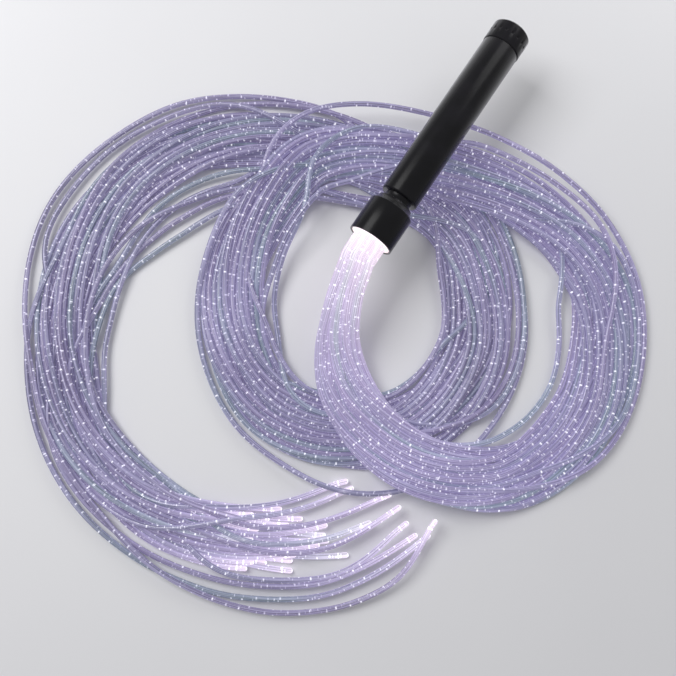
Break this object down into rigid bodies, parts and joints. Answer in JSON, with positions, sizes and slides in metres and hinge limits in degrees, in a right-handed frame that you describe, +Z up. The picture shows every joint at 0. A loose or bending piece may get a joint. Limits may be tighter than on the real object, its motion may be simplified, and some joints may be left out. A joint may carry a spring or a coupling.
{
  "type": "fiber optic wand",
  "caption": "Hand lamp with a black round handle and swivel collar that holds a long bundle of clear side-lit rods, lying in three crossing rings.",
  "frame": {"origin": "On the table under the coil, in the middle of a flat underside of fibre_lock_6 that the wand rests on", "axes": "+Z up from the table; the handle lies level above the coil and points towards +X and +Y"},
  "size_m": [0.3617, 0.3247, 0.0457],
  "materials": {
    "anodised": "smooth glossy black",
    "clear_rod": "clear, lit from within",
    "resin": "polished clear resin, glowing white",
    "brass": "turned",
    "nylon": "matte",
    "steel": "sprung wire",
    "seal_rubber": "smooth rubber",
    "lens_plastic": "polished",
    "phosphor": "silicone over phosphor",
    "aluminium": "milled",
    "circuit_board": "solder mask",
    "cell_wrap": "shrink wrap",
    "black_plastic": "moulded"
  },
  "bodies": {
    "fibre_head": {"front_collar": "anodised", "bundle_plug": "resin", "ferrule": "brass", "potted_bundle": "clear_rod", "swivel_washer": "nylon", "fibre_lock_1": "clear_rod", "fibre_lock_2": "clear_rod", "fibre_lock_3": "clear_rod", "fibre_lock_4": "clear_rod", "fibre_lock_5": "clear_rod", "fibre_lock_6": "clear_rod", "fibre_lock_7": "clear_rod", "stray_rod_1": "clear_rod", "stray_rod_2": "clear_rod", "stray_rod_3": "clear_rod"},
    "handle": {"barrel": "anodised", "swivel_circlip": "steel", "neck_o_ring": "seal_rubber", "lens": "lens_plastic", "lens_spacer": "nylon", "led_emitter": "phosphor", "led_board": "aluminium", "heat_sink": "brass", "driver_board": "circuit_board", "front_spring": "steel", "battery_cell": "cell_wrap"},
    "tail_contact": {"tail_spring": "steel"},
    "tail_cap_body": {"tail_cap": "anodised", "tail_o_ring": "seal_rubber", "switch_ring": "brass", "switch_board": "circuit_board", "switch_housing": "black_plastic"},
    "button_body": {"switch_plunger": "nylon", "tail_button": "seal_rubber"}
  },
  "joints": [
    {"name": "swivel", "type": "hinge", "parent": "fibre_head", "child": "handle", "pos_m": [0.03, 0.09808, 0.033], "axis": [0.5548, 0.832, 0], "continuous": true},
    {"name": "cap_travel", "type": "slide", "parent": "handle", "child": "tail_contact", "axis": [0.5548, 0.832, 0], "range_m": [0, 0.0046]},
    {"name": "cap_turn", "type": "hinge", "parent": "tail_contact", "child": "tail_cap_body", "pos_m": [0.03, 0.09808, 0.033], "axis": [0.5548, 0.832, 0], "range_deg": [0, 1080]},
    {"name": "button_press", "type": "slide", "parent": "tail_cap_body", "child": "button_body", "axis": [-0.5548, -0.832, 0], "range_m": [0, 0.0013], "stiffness_N_per_m": 1500, "springref_m": -0.0005}
  ],
  "couplings": [
    {"joint": "cap_travel", "follows": "cap_turn", "m_per_rad": 0.00023873}
  ]
}
